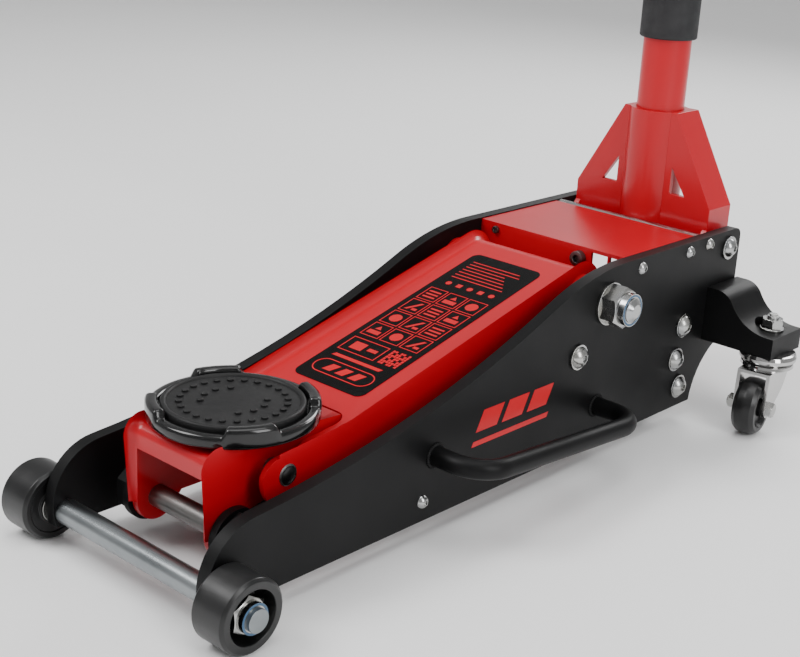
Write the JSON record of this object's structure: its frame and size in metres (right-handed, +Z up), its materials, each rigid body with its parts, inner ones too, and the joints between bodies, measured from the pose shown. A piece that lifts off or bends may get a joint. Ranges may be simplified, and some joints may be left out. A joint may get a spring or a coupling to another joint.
{
  "type": "hydraulic floor jack",
  "caption": "Low trolley jack: two side plates on wheels and casters, a sloping lift arm with a round padded saddle, and an upright pump handle at the rear.",
  "frame": {"origin": "on the floor, midway between the front and rear ends and between the two sides", "axes": "+Z up from the floor; +Y along the jack from the saddle end to the handle end; +X to the side, across the jack"},
  "size_m": [0.326, 0.6295, 1],
  "materials": {
    "red_paint": "glossy red enamel over steel sheet",
    "black_plate": "semi-gloss black powder coat",
    "black_cast": "glossy black enamel on a casting",
    "zinc": "zinc-plated, slightly satin",
    "dark_steel": "dark phosphated steel",
    "chrome": "bright nickel or chrome plate",
    "cast_block": "bare machined casting",
    "wheel_black": "moulded black nylon",
    "pad_rubber": "matte moulded rubber",
    "sleeve_foam": "matte foam rubber",
    "label_black": "printed vinyl label"
  },
  "bodies": {
    "frame": {"side_plate_right": "black_plate", "side_plate_left": "black_plate", "carry_handle_right": "black_plate", "carry_handle_left": "black_plate", "front_axle": "zinc", "front_axle_nuts": "zinc", "spacer_rods": "zinc", "frame_bolts_small": "zinc", "frame_bolts_large": "zinc", "plate_washers": "zinc", "main_shaft": "zinc", "main_shaft_nuts": "zinc", "pivot_spacers": "zinc", "rear_cover": "red_paint", "cover_screws": "dark_steel", "outrigger_right": "black_plate", "outrigger_left": "black_plate", "outrigger_bolts": "dark_steel", "caster_studs": "zinc", "caster_stud_nuts": "zinc", "caster_bearing_cups": "chrome", "valve_block": "cast_block", "reservoir_tube": "black_plate", "cylinder_tube": "chrome", "gland_nut": "dark_steel", "pump_barrel": "zinc", "pump_spring": "zinc", "return_springs": "zinc"},
    "front_wheel_right": {"front_wheel_right": "wheel_black"},
    "front_wheel_left": {"front_wheel_left": "wheel_black"},
    "caster_fork_right": {"caster_fork_right": "chrome", "caster_axle_right": "zinc"},
    "caster_fork_left": {"caster_fork_left": "chrome", "caster_axle_left": "zinc"},
    "caster_wheel_right": {"caster_wheel_right": "wheel_black"},
    "caster_wheel_left": {"caster_wheel_left": "wheel_black"},
    "lift_arm": {"lift_arm": "red_paint", "arm_pivot_tube": "red_paint", "arm_front_pin": "dark_steel", "arm_label": "label_black", "ram_pin": "dark_steel"},
    "saddle_bracket": {"saddle_bracket": "red_paint", "link_rod": "dark_steel", "link_rod_nuts": "black_plate"},
    "saddle": {"saddle": "black_cast", "saddle_pad": "pad_rubber", "saddle_clip": "zinc"},
    "tie_rods": {"tie_rods": "black_plate"},
    "ram": {"ram": "chrome"},
    "handle_socket": {"handle_socket": "red_paint", "socket_tube": "red_paint", "pump_push_pin": "zinc", "handle_lock_screw": "zinc"},
    "handle": {"handle_tube": "red_paint", "handle_sleeve": "sleeve_foam", "handle_grip": "sleeve_foam", "handle_yoke": "dark_steel"},
    "release_shaft": {"release_shaft": "dark_steel"},
    "pump_plunger": {"pump_plunger": "chrome"}
  },
  "joints": [
    {"name": "front_wheel_right_spin", "type": "hinge", "parent": "frame", "child": "front_wheel_right", "pos_m": [0.1, -0.288, 0.0255], "axis": [1, 0, 0], "continuous": true},
    {"name": "front_wheel_left_spin", "type": "hinge", "parent": "frame", "child": "front_wheel_left", "pos_m": [-0.1, -0.288, 0.0255], "axis": [1, 0, 0], "continuous": true},
    {"name": "caster_swivel_right", "type": "hinge", "parent": "frame", "child": "caster_fork_right", "pos_m": [0.138, 0.288, 0.06], "axis": [0, 0, 1], "continuous": true},
    {"name": "caster_swivel_left", "type": "hinge", "parent": "frame", "child": "caster_fork_left", "pos_m": [-0.138, 0.288, 0.06], "axis": [0, 0, 1], "continuous": true},
    {"name": "caster_wheel_right_spin", "type": "hinge", "parent": "caster_fork_right", "child": "caster_wheel_right", "pos_m": [0.14191, 0.26331, 0.025], "axis": [0.9877, 0.1564, 0], "continuous": true},
    {"name": "caster_wheel_left_spin", "type": "hinge", "parent": "caster_fork_left", "child": "caster_wheel_left", "pos_m": [-0.13409, 0.26331, 0.025], "axis": [0.9877, 0.1564, 0], "continuous": true},
    {"name": "lift_pivot", "type": "hinge", "parent": "frame", "child": "lift_arm", "pos_m": [0, 0.11, 0.135], "axis": [-1, 0, 0], "range_deg": [0, 50]},
    {"name": "bracket_pivot", "type": "hinge", "parent": "lift_arm", "child": "saddle_bracket", "pos_m": [0, -0.206, 0.074], "axis": [-1, 0, 0], "range_deg": [-51, 1]},
    {"name": "saddle_spin", "type": "hinge", "parent": "saddle_bracket", "child": "saddle", "pos_m": [0, -0.204, 0.09], "axis": [0, 0, 1], "continuous": true},
    {"name": "tie_rod_pivot", "type": "hinge", "parent": "frame", "child": "tie_rods", "pos_m": [0, 0.075, 0.098], "axis": [-1, 0, 0], "range_deg": [-1, 51]},
    {"name": "ram_slide", "type": "slide", "parent": "frame", "child": "ram", "axis": [0, -1, 0], "range_m": [0, 0.0685], "deforming": ["return_springs"]},
    {"name": "handle_pivot", "type": "hinge", "parent": "frame", "child": "handle_socket", "pos_m": [0, 0.29, 0.149], "axis": [-1, 0, 0], "range_deg": [0, 50]},
    {"name": "handle_twist", "type": "hinge", "parent": "handle_socket", "child": "handle", "pos_m": [0, 0.29, 0.2], "axis": [0, 0, 1], "range_deg": [0, 90]},
    {"name": "release_turn", "type": "hinge", "parent": "frame", "child": "release_shaft", "pos_m": [0, 0.238, 0.088], "axis": [0, 0.6487, 0.761], "range_deg": [-1, 91]},
    {"name": "plunger_slide", "type": "slide", "parent": "frame", "child": "pump_plunger", "axis": [0, -1, 0], "range_m": [0, 0.0219], "deforming": ["pump_spring"]}
  ],
  "couplings": [
    {"joint": "bracket_pivot", "follows": "lift_pivot", "ratio": -1},
    {"joint": "tie_rod_pivot", "follows": "lift_pivot", "ratio": 1},
    {"joint": "ram_slide", "follows": "lift_pivot", "m_per_rad": 0.07749},
    {"joint": "plunger_slide", "follows": "handle_pivot", "m_per_rad": 0.02418},
    {"joint": "release_turn", "follows": "handle_twist", "ratio": 1}
  ]
}
